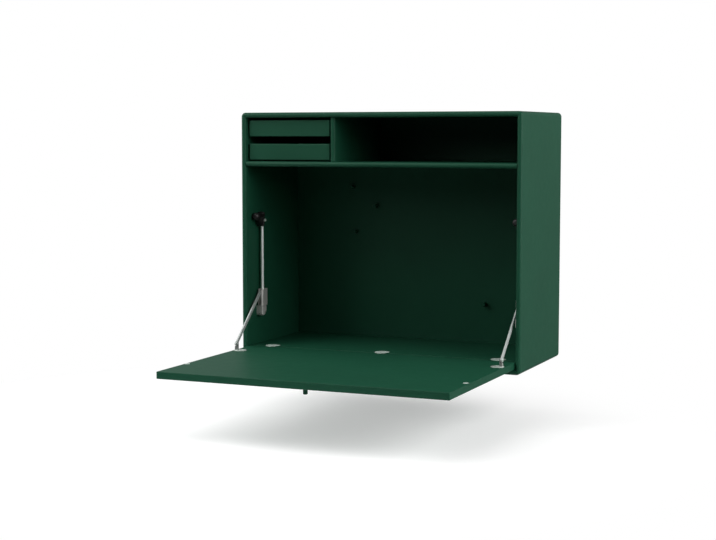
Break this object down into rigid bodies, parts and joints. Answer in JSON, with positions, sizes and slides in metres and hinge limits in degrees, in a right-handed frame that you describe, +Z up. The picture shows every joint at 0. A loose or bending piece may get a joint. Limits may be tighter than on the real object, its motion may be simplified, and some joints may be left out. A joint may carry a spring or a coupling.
{
  "type": "wall-mounted drop-front desk",
  "caption": "Wall-hung drop-front desk in dark green lacquer: a mitred cabinet with shelf, tray drawers and a hinged writing flap held level by sliding stays.",
  "frame": {"origin": "on the wall face, midway between the two wall screws of the hanging rail", "axes": "+X along the wall to the right as seen from the front, +Y into the wall, +Z up"},
  "size_m": [0.696, 0.7373, 0.5917],
  "materials": {
    "green_lacquer": "satin lacquer on fibreboard",
    "nickel": "satin nickel plate",
    "bright_steel": "bright drawn steel",
    "zinc_casting": "tumbled zinc casting",
    "black_plastic": "moulded, fine texture",
    "black_rubber": "matt",
    "galvanised_steel": "zinc plated"
  },
  "bodies": {
    "cabinet": {"top_panel": "green_lacquer", "bottom_panel": "green_lacquer", "right_side": "green_lacquer", "left_side": "green_lacquer", "back_panel": "green_lacquer", "back_pegs": "green_lacquer", "shelf": "green_lacquer", "divider": "green_lacquer", "floor_panel": "green_lacquer", "wall_rail": "galvanised_steel", "hook_bar": "galvanised_steel", "hinge_cup_left": "nickel", "hinge_cup_middle": "nickel", "hinge_cup_right": "nickel", "stay_rod_right": "bright_steel", "stay_rod_left": "bright_steel", "stay_foot_holder_right": "zinc_casting", "stay_foot_holder_left": "zinc_casting", "stay_head_holder_right": "black_plastic", "stay_head_holder_left": "black_plastic", "stay_buffer_right": "black_rubber", "stay_buffer_left": "black_rubber", "stay_holder_screw_right": "nickel", "stay_holder_screw_left": "nickel", "upper_left_runner": "green_lacquer", "upper_right_runner": "green_lacquer", "lower_left_runner": "green_lacquer", "lower_right_runner": "green_lacquer"},
    "flap": {"flap_panel": "green_lacquer", "flap_knob": "green_lacquer", "hinge_leaf_left": "nickel", "hinge_leaf_middle": "nickel", "hinge_leaf_right": "nickel", "hinge_pins": "nickel", "stay_plate_right": "nickel", "stay_plate_left": "nickel", "stay_plate_pin_right": "nickel", "stay_plate_pin_left": "nickel", "strike_plate_right": "nickel", "strike_plate_left": "nickel"},
    "left_slider": {"stay_slider_left": "zinc_casting"},
    "right_slider": {"stay_slider_right": "zinc_casting"},
    "left_arm": {"stay_arm_left": "bright_steel", "stay_arm_rivet_left": "bright_steel"},
    "right_arm": {"stay_arm_right": "bright_steel", "stay_arm_rivet_right": "bright_steel"},
    "upper_drawer": {"upper_drawer_front": "green_lacquer", "upper_drawer_left_side": "green_lacquer", "upper_drawer_right_side": "green_lacquer", "upper_drawer_back": "green_lacquer", "upper_drawer_bottom": "green_lacquer"},
    "lower_drawer": {"lower_drawer_front": "green_lacquer", "lower_drawer_left_side": "green_lacquer", "lower_drawer_right_side": "green_lacquer", "lower_drawer_back": "green_lacquer", "lower_drawer_bottom": "green_lacquer"}
  },
  "joints": [
    {"name": "flap_hinge", "type": "hinge", "parent": "cabinet", "child": "flap", "pos_m": [0, -0.2985, -0.4887], "axis": [-1, 0, 0], "range_deg": [0, 90]},
    {"name": "left_slider_slide", "type": "slide", "parent": "cabinet", "child": "left_slider", "axis": [0, 0, 1], "range_m": [0, 0.11742]},
    {"name": "left_arm_pivot", "type": "hinge", "parent": "flap", "child": "left_arm", "pos_m": [-0.3272, -0.384, -0.4652], "axis": [1, 0, 0], "range_deg": [0, 132.91]},
    {"name": "right_slider_slide", "type": "slide", "parent": "cabinet", "child": "right_slider", "axis": [0, 0, 1], "range_m": [0, 0.11742]},
    {"name": "right_arm_pivot", "type": "hinge", "parent": "flap", "child": "right_arm", "pos_m": [0.3272, -0.384, -0.4652], "axis": [1, 0, 0], "range_deg": [0, 132.91]},
    {"name": "upper_drawer_slide", "type": "slide", "parent": "cabinet", "child": "upper_drawer", "axis": [0, -1, 0], "range_m": [0, 0.19]},
    {"name": "lower_drawer_slide", "type": "slide", "parent": "cabinet", "child": "lower_drawer", "axis": [0, -1, 0], "range_m": [0, 0.19]}
  ],
  "couplings": [
    {"joint": "left_slider_slide", "follows": "flap_hinge", "m_per_rad": 0.074749},
    {"joint": "left_arm_pivot", "follows": "flap_hinge", "ratio": 1.4767},
    {"joint": "right_slider_slide", "follows": "flap_hinge", "m_per_rad": 0.074749},
    {"joint": "right_arm_pivot", "follows": "flap_hinge", "ratio": 1.4767}
  ]
}
